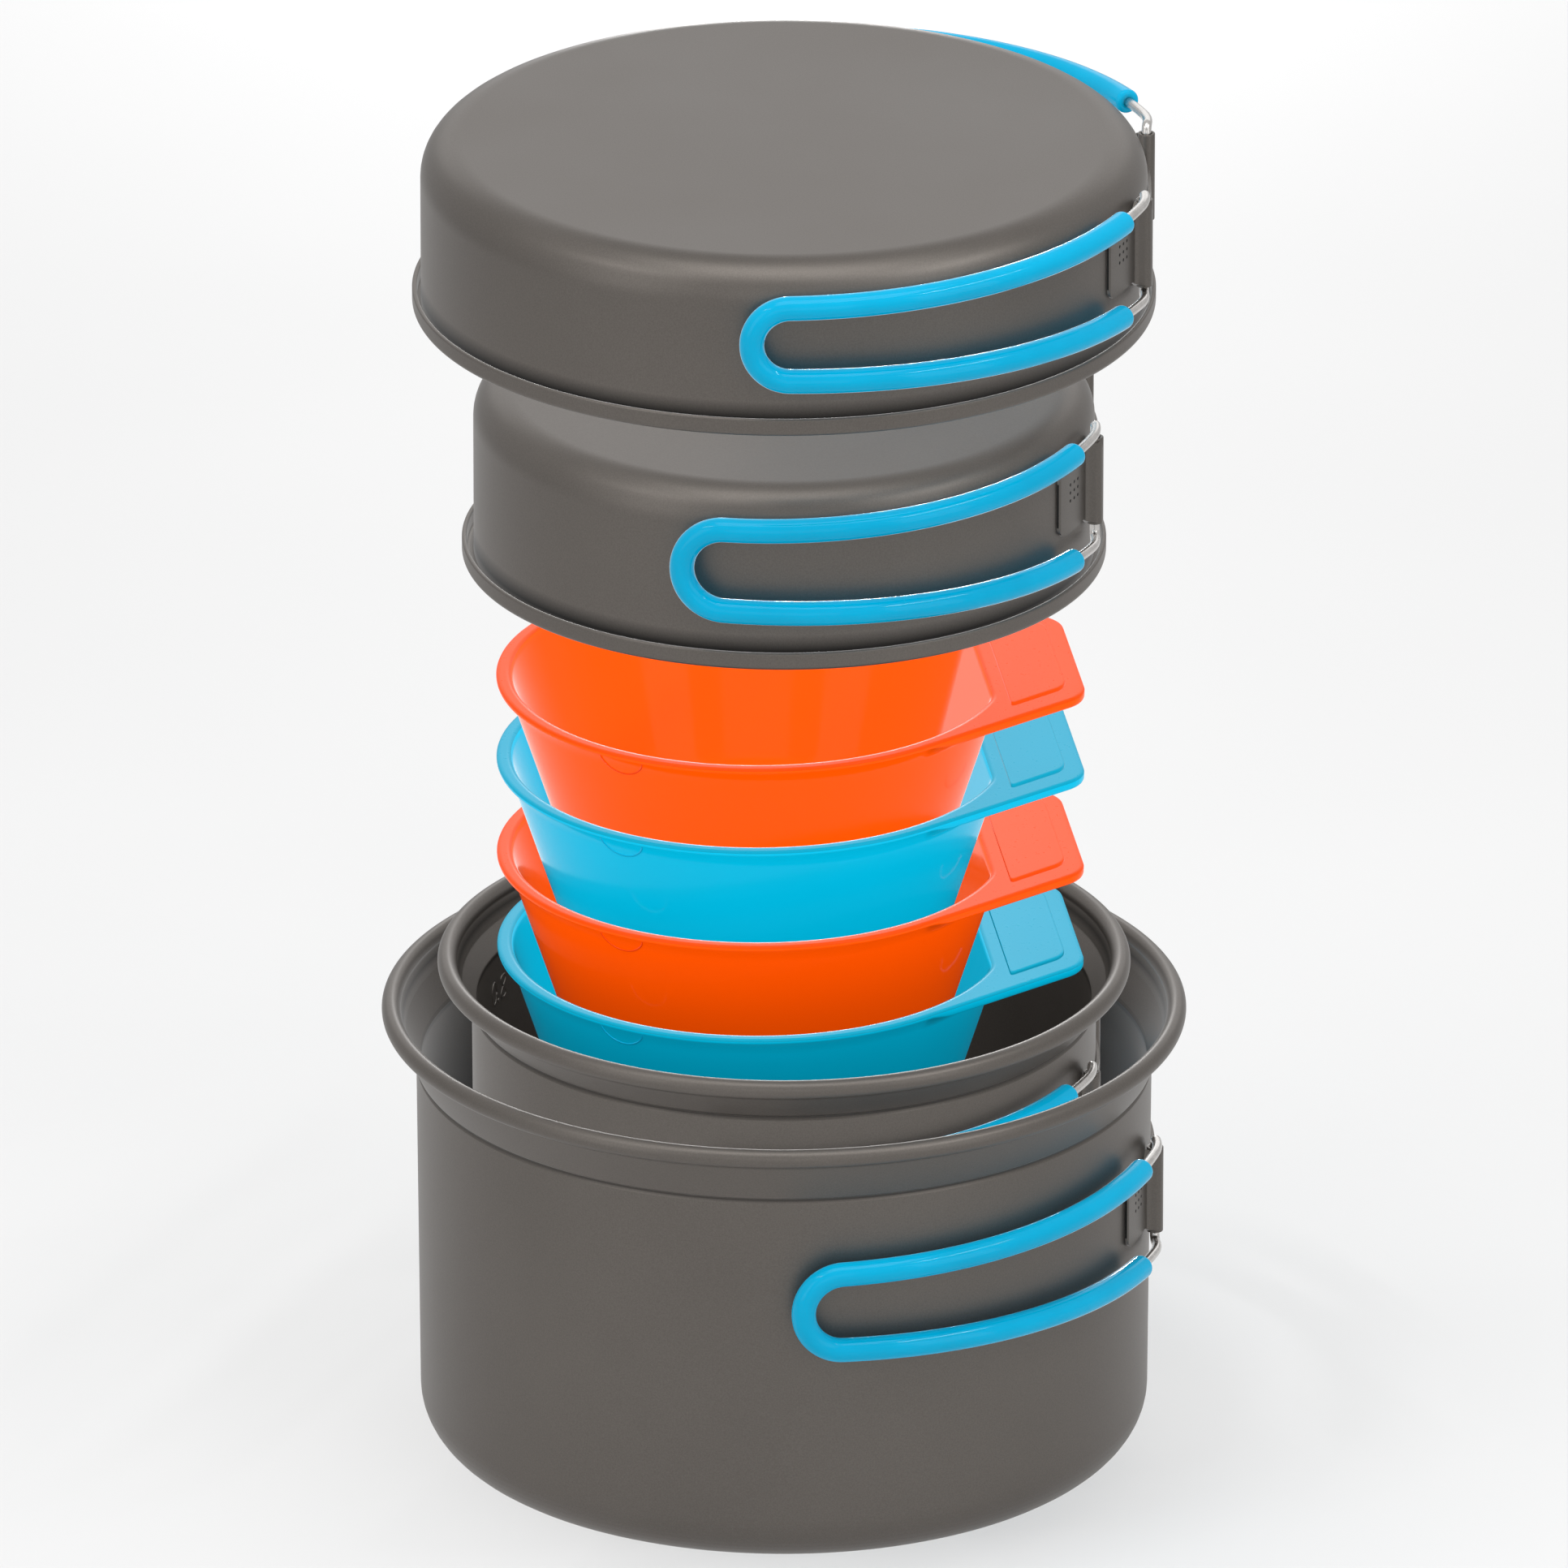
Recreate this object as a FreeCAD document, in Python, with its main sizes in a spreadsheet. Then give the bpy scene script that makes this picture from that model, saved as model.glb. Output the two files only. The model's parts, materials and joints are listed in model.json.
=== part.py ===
import FreeCAD, Part
import os
from math import acos, asin, atan2, cos, hypot, pi, sin, tan

import Sketcher

# A nesting camp cook set, shown stacked and spread apart along one vertical axis: a large pot at
# the foot, a medium pot standing half out of it, four bowls, and two frying pans turned upside
# down as lids. Millimetres, +Z up. The origin is the middle of the large pot's underside.
# Every pot and pan carries one stamped bracket with two knuckles, and two wire handles with soft
# sleeves that fold round the wall.

V = FreeCAD.Vector
UP = V(0, 0, 1)

COMMON = {
    "sheet_thickness": 1.2,     # wall of every pot and pan
    "floor_thickness": 1.4,
    "bead_radius": 2.35,        # the rolled rim of a pot
    "curl_height": 4.6,         # the turned-back rim of a pan
    "wire_radius": 1.2,
    "sleeve_radius": 3.0,
    "sleeve_gap": 0.05,         # between the wire and the sleeve's bore
    "arm_stand": 4.1,           # centre line of a folded handle, out from the wall
    "joggle_radius": 16.0,      # where the bare wire turns in towards its knuckle
    "joggle_run": 2.4,
    "bend_radius": 1.9,         # where the wire turns down into the knuckle
    "grip_depth": 6.0,          # straight wire inside the knuckle
    "bare_run": 10.0,           # bare wire along each arm before its sleeve starts
    "bracket_sheet": 0.8,
    "bracket_gap": 0.05,
    "knuckle_radius": 2.1,
    "knuckle_bore": 1.28,
    "knuckle_rise": 11.2,       # half a knuckle's height
    "knuckle_stand": 2.2,       # knuckle axis, out from the wall
    "knuckle_offset": 22.3,     # knuckle axis, sideways from the bracket's middle
    "flange_offset": 40.0,      # outer edge of a flange, sideways from the bracket's middle
    "flange_top": 8.7,
    "flange_drop": 8.7,
    "flange_corner": 3.0,
    "web_top": 6.0,
    "web_inset": 1.5,           # the web's top corner, in from the knuckle axis
    "cheek_start": 1.0,         # where the flange leaves the knuckle, out from the knuckle axis
    "cheek_end": 4.5,           # where it reaches its own height
    "cheek_short": 0.3,         # how far it stops short of the knuckle's ends
}

# Sizes of each pot. The shoulder is the ledge inside the rim that a lid sits on.
POTS = {
    "large_pot": {
        "base_radius": 89.6, "wall_radius": 90.4, "neck_height": 98.8, "shoulder_radius": 92.9,
        "shoulder_drop": 7.3, "bead_ring": 96.5, "rim_height": 114.6, "base_rounding": 13.0,
        "lift": 0.0, "bracket_height": 70.4, "bracket_turn": 3.7, "arm_height": 13.6,
        "loop_height": 10.0, "arm_length": 108.2,
    },
    "medium_pot": {
        "base_radius": 76.2, "wall_radius": 76.7, "neck_height": 87.9, "shoulder_radius": 79.1,
        "shoulder_drop": 7.2, "bead_ring": 82.75, "rim_height": 100.0, "base_rounding": 11.0,
        "lift": 27.0, "bracket_height": 66.1, "bracket_turn": -0.5, "arm_height": 13.4,
        "loop_height": 9.8, "arm_length": 108.2,
    },
}

# Sizes of each pan, which is upside down, so its height is measured up from its rim.
PANS = {
    "large_pan": {
        "wall_radius": 88.35, "rim_radius": 90.5, "depth": 42.6, "base_rounding": 10.0,
        "lift": 298.2, "bracket_height": 24.7, "bracket_turn": -1.3, "arm_height": 12.9,
        "loop_height": 9.4, "arm_length": 109.8,
    },
    "small_pan": {
        "wall_radius": 75.75, "rim_radius": 78.65, "depth": 44.8, "base_rounding": 9.0,
        "lift": 232.7, "bracket_height": 26.3, "bracket_turn": 2.5, "arm_height": 14.8,
        "loop_height": 10.5, "arm_length": 111.3,
    },
}

BOWL = {
    "height": 48.0,
    "wall": 1.2,
    "rim_radius": 63.7,
    "mouth_radius": 60.5,       # where the wall's inner face meets the rim
    "foot_radius": 44.6,        # the wall's inner face at the floor
    "foot_rounding": 8.0,
    "floor": 1.6,
    "rim_thickness": 1.5,
    "tab_thickness": 2.4,
    "tab_reach": 78.3,          # tip of the tab, out from the bowl's axis
    "tab_half_width": 24.8,
    "tab_root": 36.3,           # where the tab's sides leave the round rim
    "tab_root_half_width": 52.35,
    "tab_corner": 10.5,
    "flat_top": 55.6,           # flat side of the cavity, under the tab, at the rim
    "flat_foot": 42.0,          # and at the floor
    "flat_corner": 12.0,
    "pad_start": 58.9,          # raised pad on the tab
    "pad_end": 73.8,
    "pad_start_half_width": 30.5,
    "pad_end_half_width": 20.5,
    "pad_rise": 0.8,
    "pad_corner": 7.0,
    "offset": -6.7,             # the bowls stand off the pots' axis, away from their tabs
    "turn": 7.1,
}

# How high each bowl's foot is shown.
BOWLS = {"bowl_1": 81.7, "bowl_2": 106.3, "bowl_3": 131.3, "bowl_4": 152.9}

os.makedirs("parts", exist_ok=True)
doc = FreeCAD.newDocument("cook_set")
sizes = doc.addObject("Spreadsheet::Sheet", "sizes")


def fill_sheet():
    """Puts every driving dimension into the sheet under an alias."""
    rows = dict(COMMON)
    for group in (POTS, PANS):
        for vessel, values in group.items():
            rows.update({f"{vessel}_{key}": value for key, value in values.items()})
    rows.update({f"bowl_{key}": value for key, value in BOWL.items()})
    rows.update({f"{bowl}_lift": value for bowl, value in BOWLS.items()})
    for row, (alias, value) in enumerate(rows.items(), start=1):
        sizes.set(f"A{row}", alias)
        sizes.set(f"B{row}", str(value))
        sizes.setAlias(f"B{row}", alias)
    doc.recompute()


def size(expression):
    """The value of an expression in the sheet's aliases."""
    return float(sizes.evalExpression(expression))


def bind(item, **expressions):
    """Binds properties of an object to expressions in the sheet's aliases."""
    for name, expression in expressions.items():
        item.setExpression(name, named(expression))


def named(expression):
    """Puts the sheet's name before every alias in an expression."""
    words = []
    for word in expression.split():
        plain = word.strip("()")
        is_alias = plain[:1].isalpha() and "(" not in plain
        words.append(word.replace(plain, f"sizes.{plain}") if is_alias else word)
    return " ".join(words)


def place(item, x="", y="", z="", turn=""):
    """Binds an object's position, and its turn about the vertical axis."""
    item.Placement = FreeCAD.Placement(V(0, 0, 0), FreeCAD.Rotation(UP, 1))
    for axis, expression in (("x", x), ("y", y), ("z", z)):
        if expression:
            item.setExpression(f"Placement.Base.{axis}", named(expression))
    item.setExpression("Placement.Rotation.Angle", named(turn) if turn else "0")


def draw(sketch, corners):
    """Draws a closed outline of straight lines, each corner held by a pair of expressions."""
    points = [V(size(across), size(up), 0) for across, up in corners]
    count = len(points)
    for here in range(count):
        sketch.addGeometry(Part.LineSegment(points[here], points[(here + 1) % count]), False)
    for here in range(count):
        after = (here + 1) % count
        sketch.addConstraint(Sketcher.Constraint("Coincident", here, 2, after, 1))
    for here, corner in enumerate(corners):
        ways = (("DistanceX", -2, corner[0]), ("DistanceY", -1, corner[1]))
        for way, axis, expression in ways:
            value = size(expression)
            if value == 0:
                sketch.addConstraint(Sketcher.Constraint("PointOnObject", here, 1, axis))
                continue
            ends = (-1, 1, here, 1) if value > 0 else (here, 1, -1, 1)
            held = sketch.addConstraint(Sketcher.Constraint(way, *ends, abs(value)))
            signed = named(expression) if value > 0 else f"-({named(expression)})"
            sketch.setExpression(f"Constraints[{held}]", signed)


def origin_plane(body, role):
    """One of a body's own origin planes."""
    return next(p for p in body.Origin.OriginFeatures if p.Role == role)


def revolve(body, name, corners):
    """Turns an outline of (radius, height) corners about the body's vertical axis."""
    sketch = body.newObject("Sketcher::SketchObject", f"{name}_profile")
    sketch.AttachmentSupport = (origin_plane(body, "XZ_Plane"), [""])
    sketch.MapMode = "FlatFace"
    draw(sketch, corners)
    turned = body.newObject("PartDesign::Revolution", name)
    turned.Profile = sketch
    turned.ReferenceAxis = (sketch, ["V_Axis"])
    turned.Angle = 360
    sketch.Visibility = False
    doc.recompute()
    return turned


def ring_of_bead(body, name, ring, height):
    """A rolled rim: a circle turned about the body's vertical axis."""
    sketch = body.newObject("Sketcher::SketchObject", f"{name}_profile")
    sketch.AttachmentSupport = (origin_plane(body, "XZ_Plane"), [""])
    sketch.MapMode = "FlatFace"
    middle = V(size(ring), size(height), 0)
    sketch.addGeometry(Part.Circle(middle, UP, size("bead_radius")), False)
    rules = (
        (Sketcher.Constraint("DistanceX", -1, 1, 0, 3, middle.x), ring),
        (Sketcher.Constraint("DistanceY", -1, 1, 0, 3, middle.y), height),
        (Sketcher.Constraint("Radius", 0, size("bead_radius")), "bead_radius"),
    )
    for rule, expression in rules:
        held = sketch.addConstraint(rule)
        sketch.setExpression(f"Constraints[{held}]", named(expression))
    turned = body.newObject("PartDesign::Revolution", name)
    turned.Profile = sketch
    turned.ReferenceAxis = (sketch, ["V_Axis"])
    turned.Angle = 360
    sketch.Visibility = False
    doc.recompute()
    return turned


def circles_at(shape, radius, height):
    """Names of the level circular edges of a shape at a radius and height."""
    names = []
    for number, edge in enumerate(shape.Edges, start=1):
        level = abs(edge.BoundBox.ZMin - height) < 1e-4 and edge.BoundBox.ZLength < 1e-4
        round_edge = isinstance(edge.Curve, Part.Circle)
        if level and round_edge and abs(edge.Curve.Radius - radius) < 1e-4:
            names.append(f"Edge{number}")
    return names


def round_edges(body, name, base, places, rounding):
    """Rounds the level circular edges at (radius, height) places of a feature."""
    names = [n for radius, height in places for n in circles_at(base.Shape, radius, height)]
    rounded = body.newObject("PartDesign::Fillet", name)
    rounded.Base = (base, names)
    bind(rounded, Radius=rounding)
    doc.recompute()
    return rounded


def make_pot(pot):
    """A spun pot: flat floor, upright wall, flared neck with a ledge inside, and a rolled rim."""
    p = f"{pot}_"
    body = doc.addObject("PartDesign::Body", pot)
    inner_wall = f"{p}wall_radius - sheet_thickness"
    inner_base = f"{p}base_radius - sheet_thickness"
    bead_height = f"{p}rim_height - bead_radius"
    corners = [
        ("0", "0"),
        (f"{p}base_radius", "0"),
        (f"{p}wall_radius", f"{p}neck_height"),
        (f"{p}bead_ring - 0.9", f"{bead_height} - 2.1"),
        (f"{p}bead_ring", bead_height),
        (f"{p}bead_ring - 2.2", f"{bead_height} - 0.4"),
        (f"{p}shoulder_radius", f"{p}rim_height - {p}shoulder_drop"),
        (inner_wall, f"{p}neck_height + 0.3"),
        (inner_base, "floor_thickness"),
        ("0", "floor_thickness"),
    ]
    shell = revolve(body, f"{p}shell_turned", corners)
    outer = round_edges(
        body, f"{p}base_rounded", shell, [(size(f"{p}base_radius"), 0)], f"{p}base_rounding"
    )
    inner_edge = [(size(inner_base), size("floor_thickness"))]
    inner_rounding = f"{p}base_rounding - sheet_thickness"
    round_edges(body, f"{p}floor_rounded", outer, inner_edge, inner_rounding)
    bead = ring_of_bead(body, f"{p}bead", f"{p}bead_ring", bead_height)
    body.Tip = bead
    body.Label = f"{pot}_shell"
    place(body, z=f"{p}lift")
    return body


def make_pan(pan):
    """A spun pan, upside down: its rim turns out and back up, clear of the wall."""
    p = f"{pan}_"
    body = doc.addObject("PartDesign::Body", pan)
    inner_wall = f"{p}wall_radius - sheet_thickness"
    lip = f"{p}rim_radius - sheet_thickness"
    corners = [
        ("0", f"{p}depth"),
        (f"{p}wall_radius", f"{p}depth"),
        (f"{p}wall_radius", "sheet_thickness"),
        (lip, "sheet_thickness"),
        (lip, "curl_height"),
        (f"{p}rim_radius", "curl_height"),
        (f"{p}rim_radius", "0"),
        (inner_wall, "0"),
        (inner_wall, f"{p}depth - floor_thickness"),
        ("0", f"{p}depth - floor_thickness"),
    ]
    shell = revolve(body, f"{p}shell_turned", corners)
    depth, rim, inner = size(f"{p}depth"), size(f"{p}rim_radius"), size(inner_wall)
    thin, curl = size("sheet_thickness"), size("curl_height")
    outer = round_edges(
        body, f"{p}base_rounded", shell, [(size(f"{p}wall_radius"), depth)], f"{p}base_rounding"
    )
    inner_edge = [(inner, depth - size("floor_thickness"))]
    inner_rounding = f"{p}base_rounding - sheet_thickness"
    floor = round_edges(body, f"{p}floor_rounded", outer, inner_edge, inner_rounding)
    curled = round_edges(body, f"{p}curl_rounded", floor, [(rim, 0), (inner, 0)], "bead_radius / 1.6")
    lips = [(rim, curl), (rim - thin, curl)]
    body.Tip = round_edges(body, f"{p}lip_rounded", curled, lips, "sheet_thickness / 2.4")
    body.Label = f"{pan}_shell"
    place(body, z=f"{p}lift")
    return body


def extrude(name, plane, corners, along):
    """A prism: an outline on a plane, drawn out along that plane's normal."""
    sketch = doc.addObject("Sketcher::SketchObject", f"{name}_outline")
    turns = {"XY": (V(0, 0, 1), 0), "YZ": (V(1, 1, 1), 120)}
    sketch.Placement = FreeCAD.Placement(V(0, 0, 0), FreeCAD.Rotation(*turns[plane]))
    draw(sketch, corners)
    prism = doc.addObject("Part::Extrusion", name)
    prism.Base = sketch
    prism.DirMode = "Normal"
    prism.Solid = True
    bind(prism, LengthFwd=along)
    sketch.Visibility = False
    doc.recompute()
    return prism


def cylinder(name, radius, height, **position):
    """A cylinder whose sizes and place are bound to the sheet."""
    item = doc.addObject("Part::Cylinder", name)
    bind(item, Radius=radius, Height=height)
    place(item, **position)
    return item


def cone(name, foot, top, height, **position):
    """A cone with its foot and top radii bound to the sheet."""
    item = doc.addObject("Part::Cone", name)
    bind(item, Radius1=foot, Radius2=top, Height=height)
    place(item, **position)
    return item


def join(name, pieces):
    """Several solids joined into one."""
    item = doc.addObject("Part::MultiFuse", name)
    item.Shapes = pieces
    item.Refine = True
    return item


def combine(kind, name, base, tool):
    """Cuts a tool from a base, or keeps what is common to both."""
    item = doc.addObject(f"Part::{kind}", name)
    item.Base = base
    item.Tool = tool
    return item


def round_solid(name, base, wanted, radius):
    """Rounds those edges of a solid that a test picks out."""
    doc.recompute()
    item = doc.addObject("Part::Fillet", name)
    item.Base = base
    numbers = [n for n, edge in enumerate(base.Shape.Edges, start=1) if wanted(edge)]
    item.Edges = [(n, radius, radius) for n in numbers]
    doc.recompute()
    return item


def make_bracket(vessel):
    """One stamped sheet on the wall: a flange, a rolled knuckle, a web, a knuckle and a flange."""
    p = f"{vessel}_"
    seat = f"{p}wall_radius + bracket_gap"
    tall = "knuckle_rise + knuckle_rise"
    outside = cylinder(f"{p}sheet_outside", f"{seat} + bracket_sheet", tall, z="0 - knuckle_rise")
    inside = cylinder(f"{p}sheet_inside", seat, tall, z="0 - knuckle_rise")
    skin = combine("Cut", f"{p}sheet_skin", outside, inside)
    right = [
        ("knuckle_offset + cheek_start", "cheek_short - knuckle_rise"),
        ("knuckle_offset + cheek_end", "0 - flange_drop"),
        ("flange_offset", "0 - flange_drop"),
        ("flange_offset", "flange_top"),
        ("knuckle_offset + cheek_end", "flange_top"),
        ("knuckle_offset + cheek_start", "knuckle_rise - cheek_short"),
        ("knuckle_offset - web_inset", "web_top"),
    ]
    left = [(f"0 - ( {across} )", up) for across, up in reversed(right)]
    blank = extrude(f"{p}sheet_blank", "YZ", right + left, f"{p}wall_radius + knuckle_rise")
    corner = size("flange_offset")

    def outer_corner(edge):
        along_x = edge.BoundBox.XLength > 10 and edge.BoundBox.YLength < 1e-4
        return along_x and abs(abs(edge.BoundBox.YMax) - corner) < 1e-3

    trimmed = round_solid(f"{p}sheet_trimmed", blank, outer_corner, size("flange_corner"))
    sheet = combine("Common", f"{p}sheet", skin, trimmed)
    axis_x = knuckle_x(p)
    tubes, bores = [], []
    for side, sign in (("front", "0 - knuckle_offset"), ("back", "knuckle_offset")):
        spot = {"x": axis_x, "y": sign, "z": "0 - knuckle_rise"}
        rise = "knuckle_rise + knuckle_rise"
        tubes.append(cylinder(f"{p}{side}_knuckle", "knuckle_radius", rise, **spot))
        bores.append(cylinder(f"{p}{side}_bore", "knuckle_bore", rise, **spot))
    whole = join(f"{p}bracket_blank", [sheet] + tubes)
    bracket = combine("Cut", f"{p}bracket_bored", whole, join(f"{p}bores", bores))
    bracket.Label = f"{vessel}_bracket"
    place(bracket, z=f"{p}lift + {p}bracket_height", turn=f"{p}bracket_turn")
    return bracket


def knuckle_x(p):
    """How far out a knuckle's axis is along the bracket's middle line."""
    reach = f"( {p}wall_radius + knuckle_stand )"
    return f"( {reach} ^ 2 - knuckle_offset ^ 2 ) ^ 0.5"


def mirrored(point):
    """A point on the other arm of the same handle."""
    return V(point.x, point.y, -point.z)


def other_arm(curves):
    """The same lines and arcs on the lower arm, run the other way."""
    below = []
    for curve in reversed(curves):
        first, last = mirrored(curve.StartPoint), mirrored(curve.EndPoint)
        if isinstance(curve, Part.LineSegment):
            below.append(Part.LineSegment(last, first))
        else:
            half_way = curve.value((curve.FirstParameter + curve.LastParameter) / 2)
            below.append(Part.Arc(last, mirrored(half_way), first))
    return below


def arm_route(vessel, side):
    """An upper arm's centre line about its bracket's middle: its bare wire, and its sleeved arc.

    The arm turns down out of its knuckle, joggles out from the wall, and follows the wall on a
    slightly tilted circle.
    """
    wall = size(f"{vessel}_wall_radius")
    knuckle = wall + size("knuckle_stand")
    arm = wall + size("arm_stand")
    joggle, run = size("joggle_radius"), size("joggle_run")
    inset = arm - joggle
    reach = hypot(joggle, run)
    turned = acos((knuckle**2 - inset**2 - reach**2) / (2 * inset * reach)) - atan2(run, joggle)
    back_run = joggle * sin(turned) + run * cos(turned)
    knuckle_at = asin(size("knuckle_offset") / knuckle)
    start_at = -knuckle_at - atan2(back_run, inset + joggle * cos(turned) - run * sin(turned))
    span = size(f"{vessel}_arm_length") / arm
    lead = size("bare_run") / arm
    height = size(f"{vessel}_arm_height")
    fall = height - size(f"{vessel}_loop_height")
    tilt = asin(fall / (back_run + arm * sin(span)))

    hand = 1 if side == "front" else -1
    out = V(cos(start_at), hand * sin(start_at), 0)
    along = V(sin(start_at), -hand * cos(start_at), 0) * cos(tilt) - UP * sin(tilt)
    middle = UP * (height - back_run * sin(tilt))

    def on_arm(angle):
        return middle + (out * cos(angle) + along * sin(angle)) * arm

    joggle_middle = middle + out * inset

    def on_joggle(angle):
        return joggle_middle + (out * cos(angle) - along * sin(angle)) * joggle

    heading = out * -sin(turned) - along * cos(turned)
    corner = on_joggle(turned) + heading * run
    bend = size("bend_radius")
    half_turn = heading.getAngle(-UP) / 2
    leg = bend * tan(half_turn)
    inward = (heading * -1 - UP).normalize()
    bend_start, bend_end = corner - heading * leg, corner - UP * leg
    bend_middle = corner + inward * (bend / cos(half_turn) - bend)

    bare = [
        Part.LineSegment(bend_end - UP * size("grip_depth"), bend_end),
        Part.Arc(bend_end, bend_middle, bend_start),
        Part.LineSegment(bend_start, on_joggle(turned)),
        Part.Arc(on_joggle(turned), on_joggle(turned / 2), on_joggle(0)),
        Part.Arc(on_arm(0), on_arm(lead / 2), on_arm(lead)),
    ]
    sleeved = Part.Arc(on_arm(lead), on_arm((lead + span) / 2), on_arm(span))
    return bare, sleeved, out * -sin(span) + along * cos(span)


def handle_route(vessel, side):
    """A handle's centre line: bare wire, the sleeved arms and loop, and bare wire again."""
    bare, upper, heading = arm_route(vessel, side)
    end = upper.EndPoint
    level = V(heading.x, heading.y, 0).normalize()
    slope = -asin(heading.z)
    radius = end.z / cos(slope)
    tip = end + (level * -sin(slope) - UP * cos(slope)) * radius + level * radius
    loop = Part.Arc(end, tip, mirrored(end))
    return bare, [upper, loop] + other_arm([upper]), other_arm(bare)


def round_bar(curves, radius):
    """A round bar swept along tangent lines and arcs, with its volume checked."""
    path = Part.Wire([curve.toShape() for curve in curves])
    first = curves[0]
    start = first.value(first.FirstParameter)
    ring = Part.makeCircle(radius, start, first.tangent(first.FirstParameter)[0])
    bar = path.makePipeShell([Part.Wire(ring)], True, False)
    wanted = path.Length * pi * radius**2
    if not bar.isValid() or abs(bar.Volume / wanted - 1) > 0.01:
        raise ValueError(f"bar of {path.Length:.1f} mm came out at {bar.Volume / wanted:.3f}")
    return Part.Solid(bar) if bar.ShapeType != "Solid" else bar


def make_handle(vessel, side):
    """A bent wire whose ends stand in a knuckle, and the soft sleeve over its arms and loop."""
    bare, sleeved, bare_below = handle_route(vessel, side)
    wire = round_bar(bare + sleeved + bare_below, size("wire_radius"))
    core = round_bar(sleeved, size("wire_radius + sleeve_gap"))
    skin = round_bar(sleeved, size("sleeve_radius"))
    sleeve = skin.cut(core)
    made = []
    for kind, shape in (("wire", wire), ("sleeve", sleeve)):
        item = doc.addObject("Part::Feature", f"{vessel}_{side}_{kind}")
        item.Shape = shape
        item.Label = f"{vessel}_{side}_handle_{kind}"
        place(
            item,
            z=f"{vessel}_lift + {vessel}_bracket_height",
            turn=f"{vessel}_bracket_turn",
        )
        made.append(item)
    return made


def half_space(name, top, foot):
    """A block behind the slanting flat of a bowl: everything on the bowl's own side of it."""
    far = "bowl_rim_radius + bowl_rim_radius"
    sketch = doc.addObject("Sketcher::SketchObject", f"{name}_outline")
    sketch.Placement = FreeCAD.Placement(V(), FreeCAD.Rotation(V(1, 0, 0), 90))
    bind(sketch, **{"Placement.Base.y": "bowl_rim_radius * 1.25"})
    draw(sketch, [(f"0 - ( {far} )", "0"), (foot, "0"), (top, "bowl_height"),
                  (f"0 - ( {far} )", "bowl_height")])
    block = doc.addObject("Part::Extrusion", name)
    block.Base = sketch
    block.DirMode = "Normal"
    block.Solid = True
    bind(block, LengthFwd="bowl_rim_radius * 2.5")
    sketch.Visibility = False
    return block


def upright(edge, x):
    """Is an edge vertical, and at this distance across?"""
    box = edge.BoundBox
    return box.ZLength > 0.5 and box.XLength + box.YLength < 1e-3 and abs(box.XMax - x) < 1e-3


def make_bowl(bowl):
    """A moulded bowl: a flared cup with one flat side, under a flat tab with a raised pad."""
    p = f"{bowl}_"
    cup_outside = cone(
        f"{p}cup_outside", "bowl_foot_radius + bowl_wall", "bowl_mouth_radius + bowl_wall",
        "bowl_height",
    )
    flat_outside = half_space(
        f"{p}flat_outside", "bowl_flat_top + bowl_wall", "bowl_flat_foot + bowl_wall"
    )
    cup = combine("Common", f"{p}cup", cup_outside, flat_outside)

    def foot_edge(edge):
        return edge.BoundBox.ZMax < 1e-4

    foot = size("bowl_foot_rounding")
    cup = round_solid(f"{p}cup_rounded", cup, foot_edge, foot + size("bowl_wall"))
    rim = cylinder(
        f"{p}rim", "bowl_rim_radius", "bowl_rim_thickness", z="bowl_height - bowl_rim_thickness"
    )
    tab_outline = [
        ("bowl_tab_root", "0 - bowl_tab_root_half_width"),
        ("bowl_tab_reach", "0 - bowl_tab_half_width"),
        ("bowl_tab_reach", "bowl_tab_half_width"),
        ("bowl_tab_root", "bowl_tab_root_half_width"),
    ]
    tab = extrude(f"{p}tab", "XY", tab_outline, "bowl_tab_thickness")
    reach = size("bowl_tab_reach")
    tab = round_solid(f"{p}tab_rounded", tab, lambda e: upright(e, reach), size("bowl_tab_corner"))
    place(tab, z="bowl_height - bowl_tab_thickness")
    pad_outline = [
        ("bowl_pad_start", "0 - bowl_pad_start_half_width"),
        ("bowl_pad_end", "0 - bowl_pad_end_half_width"),
        ("bowl_pad_end", "bowl_pad_end_half_width"),
        ("bowl_pad_start", "bowl_pad_start_half_width"),
    ]
    pad = extrude(f"{p}pad", "XY", pad_outline, "bowl_pad_rise + bowl_pad_rise")
    end = size("bowl_pad_end")
    pad = round_solid(f"{p}pad_rounded", pad, lambda e: upright(e, end), size("bowl_pad_corner"))
    place(pad, z="bowl_height - bowl_pad_rise")

    hollow_cone = cone(f"{p}hollow_cone", "bowl_foot_radius", "bowl_mouth_radius", "bowl_height")
    hollow_flat = half_space(f"{p}hollow_flat", "bowl_flat_top", "bowl_flat_foot")
    hollow = combine("Common", f"{p}hollow_blank", hollow_cone, hollow_flat)

    def side_edge(edge):
        return edge.BoundBox.ZLength > 20 and abs(edge.BoundBox.YMax) > 1

    hollow = round_solid(f"{p}hollow_sided", hollow, side_edge, size("bowl_flat_corner"))
    hollow = round_solid(f"{p}hollow_footed", hollow, foot_edge, foot)
    place(hollow, z="bowl_floor")
    whole = join(f"{p}whole", [cup, rim, tab, pad])
    made = combine("Cut", f"{p}hollowed", whole, hollow)
    made.Label = bowl
    place(made, x="bowl_offset", z=f"{bowl}_lift", turn="bowl_turn")
    return made


def write_parts(parts):
    """Checks every object and every part's solid, and writes each part to its own file."""
    doc.recompute()
    failed = [o.Label for o in doc.Objects if {"Invalid", "Error"} & set(o.State)]
    if failed:
        raise ValueError(f"failed objects: {failed}")
    for item in parts:
        if item.Shape.isNull() or not item.Shape.isValid() or item.Shape.Volume <= 0:
            raise ValueError(f"{item.Label} has no valid solid")
        item.Shape.exportStep(f"parts/{item.Label}.step")


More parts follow.
